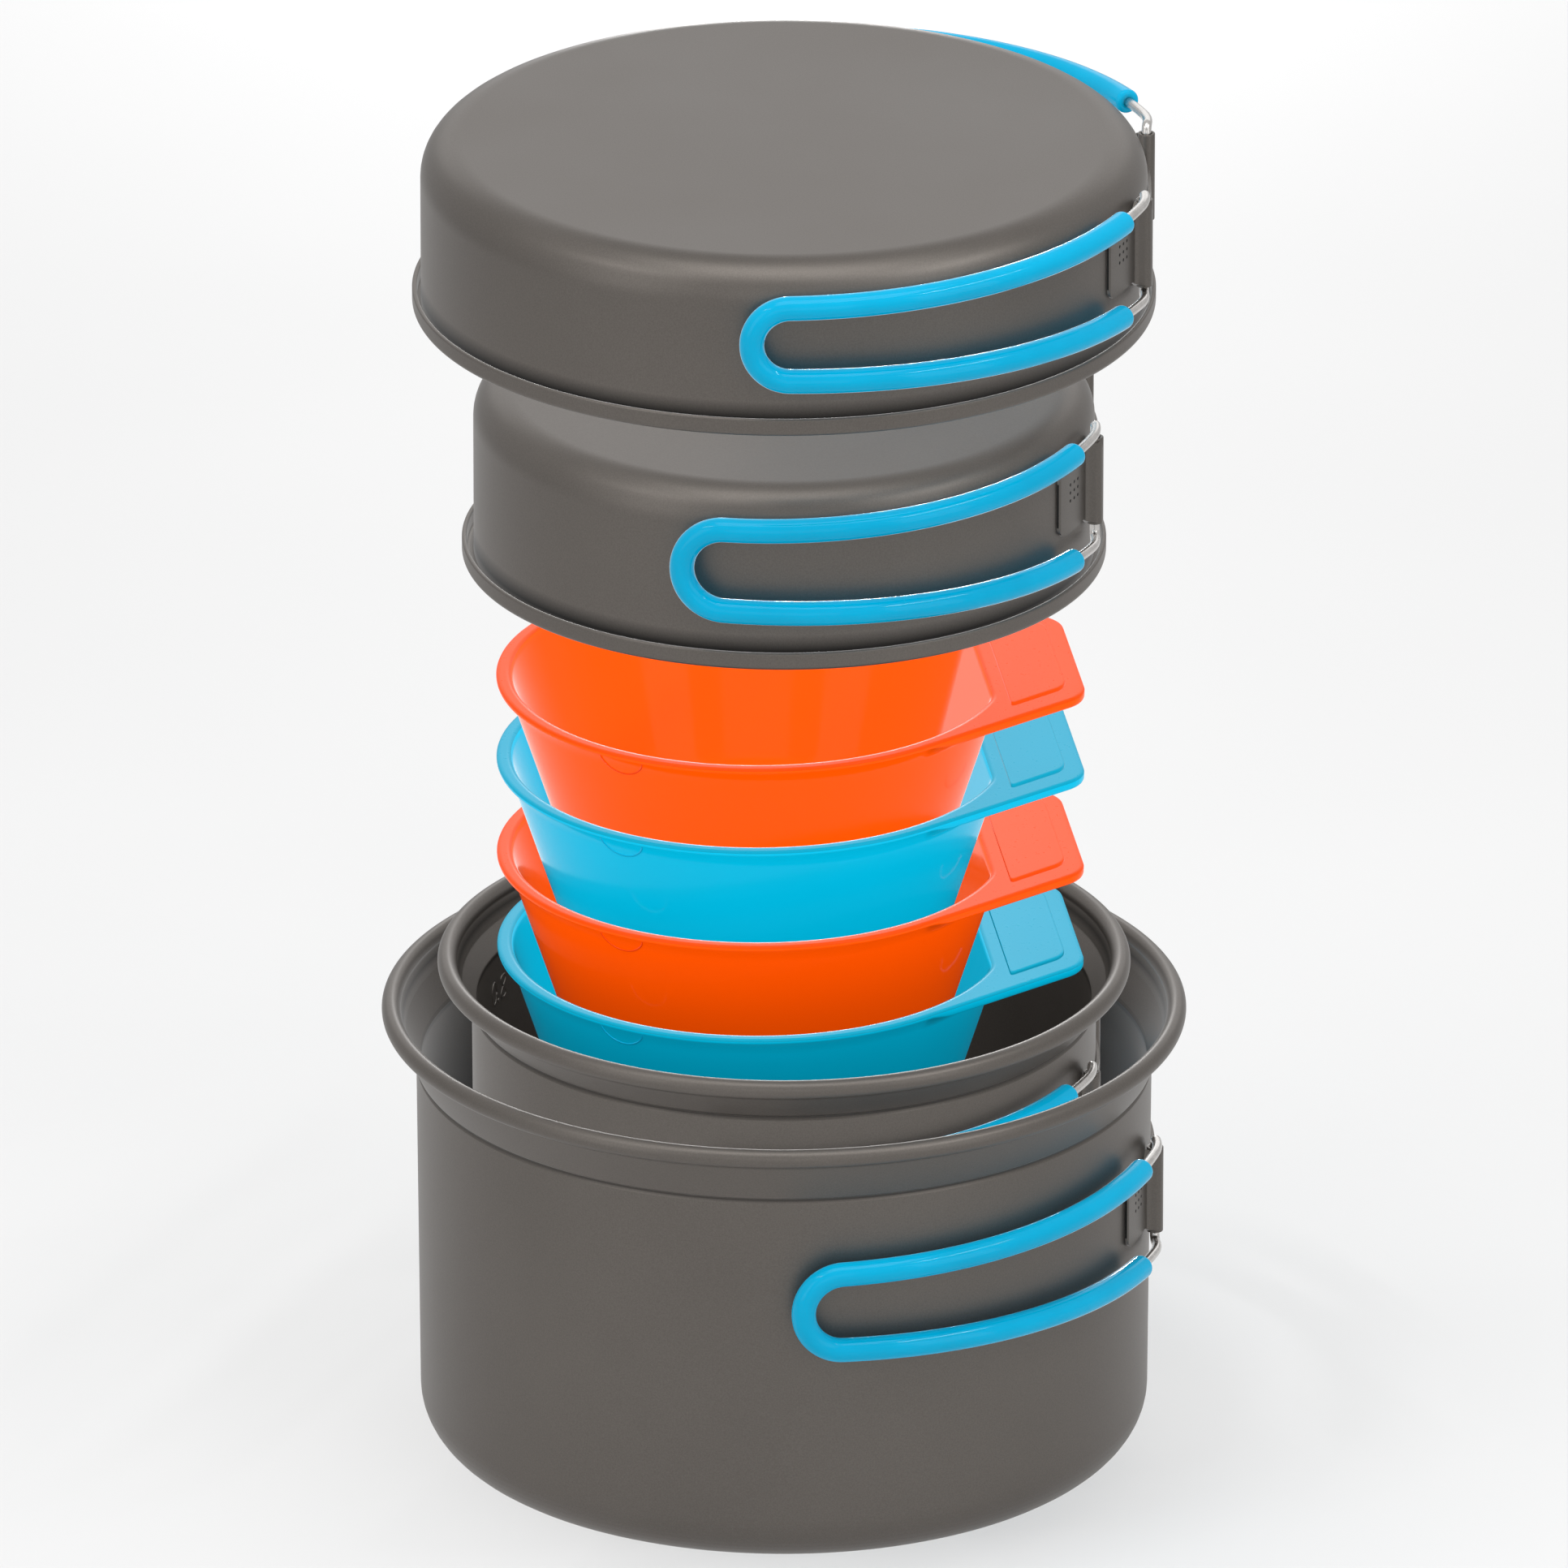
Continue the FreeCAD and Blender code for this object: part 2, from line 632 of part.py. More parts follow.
fill_sheet()
parts = [make_pot(pot) for pot in POTS] + [make_pan(pan) for pan in PANS]
for vessel in (*POTS, *PANS):
    parts.append(make_bracket(vessel))
    for side in ("front", "back"):
        parts.extend(make_handle(vessel, side))
parts.extend(make_bowl(bowl) for bowl in BOWLS)
write_parts(parts)
for item in parts:
    print(f"{item.Label}: {item.Shape.Volume / 1000:.2f} cm3, solids {len(item.Shape.Solids)}")
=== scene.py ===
import json
from math import acos, asin, atan2, ceil, cos, degrees, hypot, pi, radians, sin, sqrt, tan

import bpy
from mathutils import Matrix, Vector

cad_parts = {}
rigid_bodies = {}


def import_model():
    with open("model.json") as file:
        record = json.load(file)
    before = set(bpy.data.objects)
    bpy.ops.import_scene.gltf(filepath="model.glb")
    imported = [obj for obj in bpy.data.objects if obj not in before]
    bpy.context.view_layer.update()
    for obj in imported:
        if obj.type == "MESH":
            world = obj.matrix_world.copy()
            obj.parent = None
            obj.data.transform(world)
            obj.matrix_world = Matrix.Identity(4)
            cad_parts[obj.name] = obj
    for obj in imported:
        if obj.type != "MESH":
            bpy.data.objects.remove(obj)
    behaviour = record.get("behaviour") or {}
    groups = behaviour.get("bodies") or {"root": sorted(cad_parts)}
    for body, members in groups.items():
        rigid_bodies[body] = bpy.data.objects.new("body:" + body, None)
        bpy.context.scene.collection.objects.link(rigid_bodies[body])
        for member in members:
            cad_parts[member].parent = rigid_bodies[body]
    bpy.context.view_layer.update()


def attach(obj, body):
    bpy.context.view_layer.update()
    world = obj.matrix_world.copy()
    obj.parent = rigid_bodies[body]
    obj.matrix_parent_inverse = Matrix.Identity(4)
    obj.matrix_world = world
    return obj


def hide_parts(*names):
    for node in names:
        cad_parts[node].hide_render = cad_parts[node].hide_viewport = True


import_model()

# The looks of a nesting camp cook set over its exact parts: spun shells, rolled brackets, bent
# wire handles in soft sleeves, and four moulded bowls. Sizes are written in millimetres, as in
# the exact parts, and MM turns them into metres.
MM = 0.001
UP = Vector((0, 0, 1))
SHADE_BAND_FADE = 0.2         # a painted shade band fades out over this, either side of its outer radius

WIRE = 1.2
SLEEVE = 3.0
SLEEVE_END = 0.9        # rounding of a sleeve's cut end
KNUCKLE = 2.1
KNUCKLE_BORE = 1.28
KNUCKLE_RISE = 11.2
KNUCKLE_STAND = 2.2
KNUCKLE_OFFSET = 22.3
SHEET = 1.2
FLOOR = 1.4
BEAD = 2.35

# shades is how many times over a pot is darkened deep inside with painted shade
POTS = {
    "large_pot": dict(base=89.6, wall=90.4, neck=98.8, shoulder=92.9, drop=7.3, ring=96.5,
                      rim=114.6, rounding=13.0, lift=0.0, height=70.4, turn=3.7,
                      arm=13.6, loop=10.0, length=108.2, shades=2),
    "medium_pot": dict(base=76.2, wall=76.7, neck=87.9, shoulder=79.1, drop=7.2, ring=82.75,
                       rim=100.0, rounding=11.0, lift=27.0, height=66.1, turn=-0.5,
                       arm=13.4, loop=9.8, length=108.2, shades=0),
}
PANS = {
    "large_pan": dict(wall=88.35, rim=90.5, depth=42.6, rounding=10.0, curl=4.6, lift=298.2,
                      height=24.7, turn=-1.3, arm=12.9, loop=9.4, length=109.8),
    "small_pan": dict(wall=75.75, rim=78.65, depth=44.8, rounding=9.0, curl=4.6, lift=232.7,
                      height=26.3, turn=2.5, arm=14.8, loop=10.5, length=111.3),
}
BOWLS = {"bowl_1": 81.7, "bowl_2": 106.3, "bowl_3": 131.3, "bowl_4": 152.9}


# ---- materials -------------------------------------------------------------------------------

class Look:
    """A procedural material built node by node."""

    def __init__(self, name, **constant):
        self.material = bpy.data.materials.new(name)
        self.material.use_nodes = True
        self.nodes = self.material.node_tree.nodes
        self.links = self.material.node_tree.links
        self.surface = self.nodes["Principled BSDF"]
        for socket, value in constant.items():
            self.surface.inputs[socket.replace("_", " ")].default_value = value
        self.place = self.nodes.new("ShaderNodeTexCoord").outputs["Object"]

    def link(self, source, target):
        self.links.new(source, target)

    def feed(self, socket, source):
        self.link(source, self.surface.inputs[socket])

    def noise(self, scale, detail, roughness=0.6):
        node = self.nodes.new("ShaderNodeTexNoise")
        node.inputs["Scale"].default_value = scale
        node.inputs["Detail"].default_value = detail
        node.inputs["Roughness"].default_value = roughness
        self.link(self.place, node.inputs["Vector"])
        return node.outputs["Fac"]

    def ramp(self, source, *stops):
        """Colours between two (position, colour) stops."""
        node = self.nodes.new("ShaderNodeValToRGB")
        for element, (position, color) in zip(node.color_ramp.elements, stops):
            element.position = position
            element.color = (*color, 1)
        self.link(source, node.inputs["Fac"])
        return node.outputs["Color"]

    def varied(self, source, color, darkest, lightest):
        """One colour that grows a little darker and lighter with a noise."""
        return self.ramp(source, (0.3, scaled(color, darkest)), (0.7, scaled(color, lightest)))

    def span(self, source, low, high, source_low=0.3, source_high=0.7):
        node = self.nodes.new("ShaderNodeMapRange")
        node.inputs["From Min"].default_value = source_low
        node.inputs["From Max"].default_value = source_high
        node.inputs["To Min"].default_value = low
        node.inputs["To Max"].default_value = high
        self.link(source, node.inputs["Value"])
        return node.outputs["Result"]

    def math(self, operation, first, second):
        node = self.nodes.new("ShaderNodeMath")
        node.operation = operation
        for socket, value in zip(node.inputs, (first, second)):
            if isinstance(value, float):
                socket.default_value = value
            else:
                self.link(value, socket)
        return node.outputs["Value"]

    def multiply(self, color, by):
        node = self.nodes.new("ShaderNodeMix")
        node.data_type = "RGBA"
        node.blend_type = "MULTIPLY"
        node.inputs["Factor"].default_value = 1.0
        first, second, result = node.inputs[6], node.inputs[7], node.outputs[2]     # the colours
        self.link(color, first)
        self.link(by, second)
        return result

    def painted_shade_rings(self, color, painted_shade_bands):
        """Paints shade as darker rings round the vertical axis: (height, half width, darkest, outer
        radius).
        """
        split = self.nodes.new("ShaderNodeSeparateXYZ")
        self.link(self.place, split.inputs["Vector"])
        across = self.math("POWER", split.outputs["X"], 2.0)
        along = self.math("POWER", split.outputs["Y"], 2.0)
        radius = self.math("SQRT", self.math("ADD", across, along), 0.0)
        for height, half, darkest, limit in painted_shade_bands:
            above = self.math("SUBTRACT", split.outputs["Z"], height * MM)
            level = self.span(self.math("ABSOLUTE", above, 0.0), darkest, 1.0, 0.0, half * MM)
            fade = [(limit + side * SHADE_BAND_FADE) * MM for side in (-1, 1)]
            outside = self.span(radius, 0.0, 1.0, *fade)
            color = self.multiply(color, self.math("MAXIMUM", level, outside))
        return color

    def bump(self, source, height, strength):
        node = self.nodes.new("ShaderNodeBump")
        node.inputs["Distance"].default_value = height * MM
        node.inputs["Strength"].default_value = strength
        self.link(source, node.inputs["Height"])
        return node.outputs["Normal"]


def scaled(color, by):
    return tuple(min(c * by, 1.0) for c in color)


def anodised(name, color, roughness=0.42, painted_shade_bands=()):
    """Hard-anodised aluminium: satin, with a fine grain, faint clouding and any given rings of
    painted shade.
    """
    look = Look(name, Metallic=0.75, Specular_IOR_Level=0.5)
    cloud = look.noise(14, detail=3)
    grain = look.noise(2600, detail=2, roughness=0.7)
    tone = look.varied(cloud, color, 0.94, 1.06)
    specks = look.ramp(grain, (0.32, (0.84, 0.84, 0.84)), (0.68, (1.0, 1.0, 1.0)))
    look.feed("Base Color", look.painted_shade_rings(look.multiply(tone, specks), painted_shade_bands))
    look.feed("Roughness", look.span(cloud, roughness - 0.03, roughness + 0.03))
    look.feed("Normal", look.bump(grain, 0.012, 0.5))
    return look.material


def moulded(name, color, roughness=0.1):
    """Smooth injection-moulded plastic, evenly coloured right through, with a faint painted glow in
    its own colour.
    """
    # the emission is painted light: a faint glow that evens out the shade on the bowls
    look = Look(name, Specular_IOR_Level=0.09, IOR=1.49, Emission_Strength=0.25,
                Emission_Color=(*color, 1))
    drift = look.noise(9, detail=2)
    fine = look.noise(900, detail=2)
    look.feed("Base Color", look.varied(drift, color, 0.95, 1.04))
    look.feed("Roughness", look.span(fine, roughness - 0.03, roughness + 0.04))
    look.feed("Normal", look.bump(drift, 0.05, 0.15))
    return look.material


def sleeve_look(name, color):
    """Soft extruded tubing: a semi-gloss skin with slight waves."""
    look = Look(name, Specular_IOR_Level=0.14, IOR=1.5)
    drift = look.noise(40, detail=3)
    fine = look.noise(1500, detail=2)
    look.feed("Base Color", look.varied(drift, color, 0.95, 1.05))
    look.feed("Roughness", look.span(fine, 0.07, 0.11))
    look.feed("Normal", look.bump(look.noise(160, detail=2), 0.03, 0.1))
    return look.material


def drawn_wire(name, color):
    """Bright drawn steel with faint lengthwise marks."""
    look = Look(name, Metallic=1.0)
    marks = look.noise(500, detail=3)
    look.feed("Base Color", look.varied(marks, color, 0.85, 1.0))
    look.feed("Roughness", look.span(marks, 0.2, 0.3))
    look.feed("Normal", look.bump(marks, 0.004, 0.1))
    return look.material


ANODISED = (0.134, 0.120, 0.108)
BRACKET = anodised("bracket_metal", (0.123, 0.111, 0.100), 0.36)
# near-black painted shade for the gaps at the brackets' cut ends and in their punch marks
PAINTED_SHADE = anodised("painted_shade_dark", (0.012, 0.011, 0.010), 0.6)
BRIGHT = drawn_wire("bright_wire", (0.60, 0.58, 0.56))
TUBING = sleeve_look("blue_sleeve", (0.0, 0.36, 0.60))
ORANGE = moulded("orange_plastic", (1.0, 0.085, 0.0))
BLUE = moulded("blue_plastic", (0.0, 0.44, 0.68))
# darker copies for the tops of rims, tabs and pads: painted shade that holds down the light from
# above
ORANGE_TOP_SHADE = moulded("orange_top_painted_shade", (0.9, 0.058, 0.0), 0.3)
BLUE_TOP_SHADE = moulded("blue_top_painted_shade", (0.0, 0.29, 0.44), 0.3)
# darker copies for the half-moon lugs: painted shade that shows their relief
ORANGE_LUG_SHADE = moulded("orange_lug_painted_shade", (0.72, 0.045, 0.0))
BLUE_LUG_SHADE = moulded("blue_lug_painted_shade", (0.0, 0.31, 0.52))


# ---- shapes ----------------------------------------------------------------------------------

def rounded(corners, closed=False, step=8):
    """An outline through corners (across, up, rounding), with arcs of that rounding."""
    outline = []
    count = len(corners)
    for at, (x, y, radius) in enumerate(corners):
        here = Vector((x, y))
        if not radius or (not closed and at in (0, count - 1)):
            outline.append(here)
            continue
        back = (Vector(corners[at - 1][:2]) - here).normalized()
        ahead = (Vector(corners[(at + 1) % count][:2]) - here).normalized()
        half = back.angle(ahead) / 2
        middle = here + (back + ahead).normalized() * (radius / sin(half))
        start = here + back * (radius / tan(half))
        swing = pi - 2 * half
        side = 1 if back.x * ahead.y - back.y * ahead.x < 0 else -1
        parts = max(2, ceil(degrees(swing) / step))
        for k in range(parts + 1):
            turn = Matrix.Rotation(side * swing * k / parts, 2)
            outline.append(middle + turn @ (start - middle))
    return outline


def arc(middle, radius, start, end, step=8):
    parts = max(2, ceil(abs(end - start) / step))
    angles = [radians(start + (end - start) * k / parts) for k in range(parts + 1)]
    return [Vector(middle) + Vector((cos(a), sin(a))) * radius for a in angles]


def evened(outline, longest=5.0, margin=0.5):
    """The outline with points close to each end of long runs, so that shading stays flat."""
    result = [outline[0]]
    for start, end in zip(outline, outline[1:]):
        length = (end - start).length
        if length < 1e-6:
            continue
        if length > 3 * margin:
            middle = length - 2 * margin
            parts = max(1, ceil(middle / longest))
            for k in range(parts + 1):
                result.append(start.lerp(end, (margin + middle * k / parts) / length))
        result.append(end)
    return result


def piece(name, verts, faces, body, looks, node, which=None, sharp=None):
    """A mesh in the row's frame that rides on a body and stands for an exact part."""
    mesh = bpy.data.meshes.new(name)
    mesh.from_pydata([v * MM for v in verts], [], faces)
    mesh.validate()
    thing = bpy.data.objects.new(name, mesh)
    bpy.context.scene.collection.objects.link(thing)
    for look in looks if isinstance(looks, tuple) else (looks,):
        mesh.materials.append(look)
    if which is not None:
        mesh.polygons.foreach_set("material_index", which)
    mesh.polygons.foreach_set("use_smooth", [True] * len(mesh.polygons))
    if sharp:
        mesh.set_sharp_from_angle(angle=radians(sharp))
    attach(thing, body)
    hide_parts(node)
    return thing


def turned(outline, lift, segments=288):
    """An outline of (radius, height) turned about the vertical axis; its ends are on the axis."""
    verts = [Vector((0, 0, outline[0].y + lift)), Vector((0, 0, outline[-1].y + lift))]
    rows = []
    for point in outline[1:-1]:
        rows.append(len(verts))
        for k in range(segments):
            angle = 2 * pi * k / segments
            verts.append(Vector((point.x * cos(angle), point.x * sin(angle), point.y + lift)))
    faces = []
    for k in range(segments):
        nxt = (k + 1) % segments
        faces.append((0, rows[0] + nxt, rows[0] + k))
        faces.append((1, rows[-1] + k, rows[-1] + nxt))
        for low, high in zip(rows, rows[1:]):
            faces.append((low + k, low + nxt, high + nxt, high + k))
    return verts, faces


def ring_quads(rows, ring):
    """Quads between neighbouring closed rings of vertices, laid out ring after ring."""
    faces = []
    for k in range(rows - 1):
        low, high = k * ring, (k + 1) * ring
        for j in range(ring):
            nxt = (j + 1) % ring
            faces.append((low + j, low + nxt, high + nxt, high + j))
    return faces


def carried(stations, tangents, radii, ring):
    """Circles of vertices at stations along a path, turned with it but not twisted."""
    normal = tangents[0].orthogonal().normalized()
    verts = []
    for k, (station, tangent, radius) in enumerate(zip(stations, tangents, radii)):
        if k:
            normal = tangents[k - 1].rotation_difference(tangent) @ normal
        normal = (normal - tangent * normal.dot(tangent)).normalized()
        other = tangent.cross(normal)
        for j in range(ring):
            a = 2 * pi * j / ring
            verts.append(station + (normal * cos(a) + other * sin(a)) * radius)
    return verts


def swept(path, radius, ring):
    """A round bar along a path, closed at both ends."""
    last = len(path) - 1
    tangents = [
        (path[min(k + 1, last)] - path[max(k - 1, 0)]).normalized() for k in range(len(path))
    ]
    verts = carried(path, tangents, [radius] * len(path), ring)
    faces = ring_quads(len(path), ring)
    faces.append(tuple(range(ring))[::-1])
    faces.append(tuple(last * ring + j for j in range(ring)))
    return verts, faces


# ---- pots and pans ---------------------------------------------------------------------------

UNDER_BEAD = (-0.9, -2.1)       # where the flare meets the rolled bead, from its middle
INSIDE_BEAD = (-2.2, -0.4)      # where the bead meets the inside


def pot_outline(d):
    """Up the outside of a pot, over its rolled rim, and down the inside to the floor."""
    bead = Vector((d["ring"], d["rim"] - BEAD))
    under = degrees(atan2(UNDER_BEAD[1], UNDER_BEAD[0]))
    inside = degrees(atan2(INSIDE_BEAD[1], INSIDE_BEAD[0])) + 360
    rise = rounded([
        (0, 0, 0),
        (d["base"], 0, d["rounding"]),
        (d["wall"], d["neck"] - 1.1, 0.3),
        (d["wall"] - 0.45, d["neck"] - 0.5, 0.25),
        (d["wall"] - 0.3, d["neck"] + 0.1, 0.2),
        (d["wall"] + 0.35, d["neck"] + 0.5, 0.4),
        (bead.x + UNDER_BEAD[0], bead.y + UNDER_BEAD[1], 0),
    ])
    fall = rounded([
        (bead.x + INSIDE_BEAD[0], bead.y + INSIDE_BEAD[1], 0),
        (d["shoulder"], d["rim"] - d["drop"], 1.2),
        (d["wall"] - SHEET, d["neck"] + 0.3, 0.8),
        (d["base"] - SHEET, FLOOR, d["rounding"] - SHEET),
        (0, FLOOR, 0),
    ])
    return evened(rise) + arc(bead, BEAD, under, inside)[1:-1] + evened(fall)


def pan_outline(d):
    """Over an upturned pan's base, down to its curled rim, and up the inside."""
    inner = d["wall"] - SHEET
    lip = d["rim"] - SHEET
    fall = rounded([
        (0, d["depth"], 0),
        (d["wall"], d["depth"], d["rounding"]),
        (d["wall"], SHEET, 0.5),
        (lip, SHEET, 0.4),
        (lip, d["curl"], 0.5),
        (d["rim"], d["curl"], 0.5),
        (d["rim"], 0, BEAD / 1.6),
        (inner, 0, BEAD / 1.6),
        (inner, d["depth"] - FLOOR, d["rounding"] - SHEET),
        (0, d["depth"] - FLOOR, 0),
    ])
    return evened(fall)[::-1]


def raise_shell(vessel, d, outline):
    """A shell with painted shade beside its curl, or under its neck and bead and deep inside."""
    if "curl" in d:
        painted_shade_bands = [(d["curl"] - 0.5, 4.2, 0.05, d["wall"] + 0.75)]
    else:
        painted_shade_bands = [(d["neck"] - 0.3, 0.9, 0.35, d["wall"] + 0.5),
                 (d["rim"] - 2 * BEAD, 1.4, 0.4, d["ring"] - 0.9)]
        painted_shade_bands += d["shades"] * [(0.54 * d["rim"], 0.38 * d["rim"], 0.04, d["base"] - 0.2)]
    painted_shade_bands = [(height + d["lift"], *rest) for height, *rest in painted_shade_bands]
    look = anodised(f"{vessel}_metal", ANODISED, painted_shade_bands=painted_shade_bands)
    verts, faces = turned(outline, d["lift"])
    piece(f"{vessel}_shell_skin", verts, faces, vessel, look, f"{vessel}_shell")


def raise_digits(vessel, d, at=159, height=78, tall=6.0):
    """Two raised figures and a point on the inner wall, as on a pot marked with its volume."""
    inner = d["wall"] - SHEET
    turns = [2 * pi * k / 20 for k in range(21)]
    nought = [(0.28 * cos(a), 0.5 * sin(a)) for a in turns]
    point = [(0.05 * cos(a) + 0.5, 0.05 * sin(a) - 0.45) for a in turns]
    eight = [(1.0 + 0.26 * sin(2 * a), -0.5 * cos(a)) for a in turns]
    for index, stroke in enumerate((nought, point, eight)):
        path = []
        for across, up in stroke:
            angle = radians(at) - (across - 0.5) * tall / inner
            path.append(Vector((inner * cos(angle), inner * sin(angle),
                                d["lift"] + height + up * tall)))
        verts, faces = swept(path, 0.3, ring=8)
        piece(f"{vessel}_figure_{index}", verts, faces, vessel, BRACKET,
              f"{vessel}_shell")


# ---- brackets --------------------------------------------------------------------------------

SHEET_FACE = 0.85       # a flange's outer face, out from the wall
SHEET_BACK = 0.06       # its inner face
FLANGE_END, FLANGE_TOP, FLANGE_DROP, FLANGE_CORNER = 40.0, 8.7, 8.7, 3.0
WEB_TOP = 6.0
EDGE_SOFT = 0.25        # how far the outer face draws in at a flange's end
SKIRT_RISE, SKIRT_RUN = 2.2, 1.7        # the smooth foot of a knuckle's hump
FINE, COARSE = 0.22, 1.0                # steps across the sheet
FINE_ZONE = 4.4         # how far each side of a knuckle the steps are fine
MARK, MARK_PITCH, MARK_PROUD, MARK_DEEP = 0.42, 2.1, 0.02, 0.1
MARKS_ACROSS, MARKS_UP = 33.0, 1.6


def placed(d):
    """From a bracket's own place, at mid height on +X, to where its pot or pan has it."""
    return Matrix.Translation((0, 0, d["lift"] + d["height"])) @ Matrix.Rotation(
        radians(d["turn"]), 4, "Z")


def between(value, *pairs):
    """Straight-line interpolation through (at, value) pairs."""
    for (x0, y0), (x1, y1) in zip(pairs, pairs[1:]):
        if value <= x1:
            return y0 + (y1 - y0) * max(0.0, value - x0) / (x1 - x0)
    return pairs[-1][1]


def bracket_band(across):
    """The lowest and highest edge of a bracket's sheet at a distance from its middle."""
    y = abs(across)
    edge = KNUCKLE_RISE - 0.3
    low = between(y, (0, -edge), (KNUCKLE_OFFSET + 1, -edge),
                  (KNUCKLE_OFFSET + 4.5, -FLANGE_DROP), (FLANGE_END, -FLANGE_DROP))
    high = between(y, (0, WEB_TOP), (KNUCKLE_OFFSET - 1.5, WEB_TOP),
                   (KNUCKLE_OFFSET + 1, edge), (KNUCKLE_OFFSET + 4.5, FLANGE_TOP),
                   (FLANGE_END, FLANGE_TOP))
    into = y - (FLANGE_END - FLANGE_CORNER)
    if into > 0:
        lost = FLANGE_CORNER - sqrt(max(FLANGE_CORNER**2 - into**2, 0))
        low, high = low + lost, high - lost
    return low, high


def bracket_face(across):
    """How far out the rolled sheet's outer face is: flat, with a smooth hump at each knuckle."""
    off = abs(abs(across) - KNUCKLE_OFFSET)
    hump = KNUCKLE_STAND + sqrt(max(KNUCKLE**2 - off**2, 0)) if off < KNUCKLE else 0
    skirt = SHEET_FACE + SKIRT_RISE * max(0.0, 1 - max(off - SKIRT_RUN, 0) / SKIRT_RUN) ** 2
    return max(hump, skirt if off < 2 * SKIRT_RUN else SHEET_FACE)


def bracket_columns():
    """Places across a bracket, closer together at its knuckles and its rounded ends."""
    columns = []
    y = -FLANGE_END
    while y < FLANGE_END - 1e-6:
        columns.append(y)
        near = abs(abs(y) - KNUCKLE_OFFSET) < FINE_ZONE or abs(y) > FLANGE_END - FLANGE_CORNER - 0.5
        y += FINE if near else COARSE
    return columns + [FLANGE_END]


def bracket_mesh(wall, rows=10):
    """A bracket's sheet in two layers, back and face, joined round its edges."""
    columns = bracket_columns()
    count = len(columns)
    verts, faces = [], []
    for layer in (0, 1):
        for y in columns:
            low, high = bracket_band(y)
            low, high = low + 0.02 * layer, high - 0.02 * layer
            out = wall + (bracket_face(y) if layer else SHEET_BACK)
            if layer and abs(y) > FLANGE_END - 0.3:
                out -= EDGE_SOFT
            angle = asin(y / (wall + 0.5))
            for r in range(rows + 1):
                z = low + (high - low) * r / rows
                verts.append(Vector((out * cos(angle), out * sin(angle), z)))

    def at(layer, c, r):
        return (layer * count + c) * (rows + 1) + r

    for c in range(count - 1):
        for r in range(rows):
            faces.append((at(1, c, r), at(1, c + 1, r), at(1, c + 1, r + 1), at(1, c, r + 1)))
            faces.append((at(0, c, r), at(0, c, r + 1), at(0, c + 1, r + 1), at(0, c + 1, r)))
        for r in (0, rows):
            quad = (at(0, c, r), at(0, c + 1, r), at(1, c + 1, r), at(1, c, r))
            faces.append(quad if r == 0 else quad[::-1])
    which = [0] * len(faces)
    # the cut end faces take the second look, which is painted shade
    for r in range(rows):
        for c in (0, count - 1):
            quad = (at(0, c, r + 1), at(0, c, r), at(1, c, r), at(1, c, r + 1))
            faces.append(quad if c == 0 else quad[::-1])
            which.append(1)
    return verts, faces, which


def raise_bracket(vessel, d):
    """A bracket's rolled sheet with its cut ends and punch marks painted dark as shade, and its two
    knuckles.
    """
    place = placed(d)
    node = f"{vessel}_bracket"
    verts, faces, which = bracket_mesh(d["wall"])
    sheet = piece(f"{node}_sheet", [place @ v for v in verts], faces, vessel,
                  (BRACKET, PAINTED_SHADE), node, which, sharp=50)
    edge = sheet.modifiers.new("edges", "BEVEL")
    edge.width = 0.18 * MM
    edge.segments = 2
    edge.limit_method = "ANGLE"
    edge.angle_limit = radians(55)
    # the punch marks are painted near-black, as shade in their hollows
    verts, faces = marks_mesh(d["wall"] + SHEET_FACE)
    piece(f"{node}_marks", [place @ v for v in verts], faces, vessel, PAINTED_SHADE,
          node)
    out = sqrt((d["wall"] + KNUCKLE_STAND) ** 2 - KNUCKLE_OFFSET**2)
    for side, sign in (("front", -1), ("back", 1)):
        verts, faces = tube(KNUCKLE, KNUCKLE_BORE, KNUCKLE_RISE)
        spot = place @ Matrix.Translation((out, sign * KNUCKLE_OFFSET, 0))
        piece(f"{vessel}_{side}_knuckle", [spot @ v for v in verts], faces, vessel, BRACKET,
              node)


def marks_mesh(face, ring=12):
    """Nine small punch marks in a square on the front flange, at its face's radius."""
    verts, faces = [], []
    for column in (-1, 0, 1):
        turn = Matrix.Rotation(-asin((MARKS_ACROSS + column * MARK_PITCH) / face), 3, "Z")
        for row in (-1, 0, 1):
            front = len(verts)
            back = front + ring
            for out in (MARK_PROUD, MARK_PROUD - MARK_DEEP):
                for k in range(ring):
                    a = 2 * pi * k / ring
                    up = MARKS_UP + row * MARK_PITCH + MARK * sin(a)
                    verts.append(turn @ Vector((face + out, MARK * cos(a), up)))
            faces.append(tuple(front + k for k in range(ring)))
            faces.append(tuple(back + k for k in reversed(range(ring))))
            for k in range(ring):
                nxt = (k + 1) % ring
                faces.append((front + k, back + k, back + nxt, front + nxt))
    return verts, faces


def tube(outer, bore, rise, ring=40):
    """An upright tube about its own middle with softened lips."""
    soft = 0.2
    outline = rounded([
        (bore, -rise, soft), (outer, -rise, soft), (outer, rise, soft), (bore, rise, soft),
    ], closed=True, step=30)
    verts, faces = [], []
    count = len(outline)
    for k in range(ring):
        a = 2 * pi * k / ring
        verts += [Vector((p.x * cos(a), p.x * sin(a), p.y)) for p in outline]
    for k in range(ring):
        nxt = (k + 1) % ring
        for j in range(count):
            i = (j + 1) % count
            faces.append((k * count + j, nxt * count + j, nxt * count + i, k * count + i))
    return verts, faces


# ---- handles ---------------------------------------------------------------------------------

ARM_STAND = 4.1
JOGGLE, JOGGLE_RUN = 16.0, 2.4
BEND = 1.9
GRIP = 6.0
BARE_RUN = 10.0         # bare wire along each arm before its sleeve starts
STATION = 1.2           # between stations along an arm
BEND_STEPS, JOGGLE_STEPS, LEAD_STEPS, LOOP_STEPS = 8, 10, 8, 16


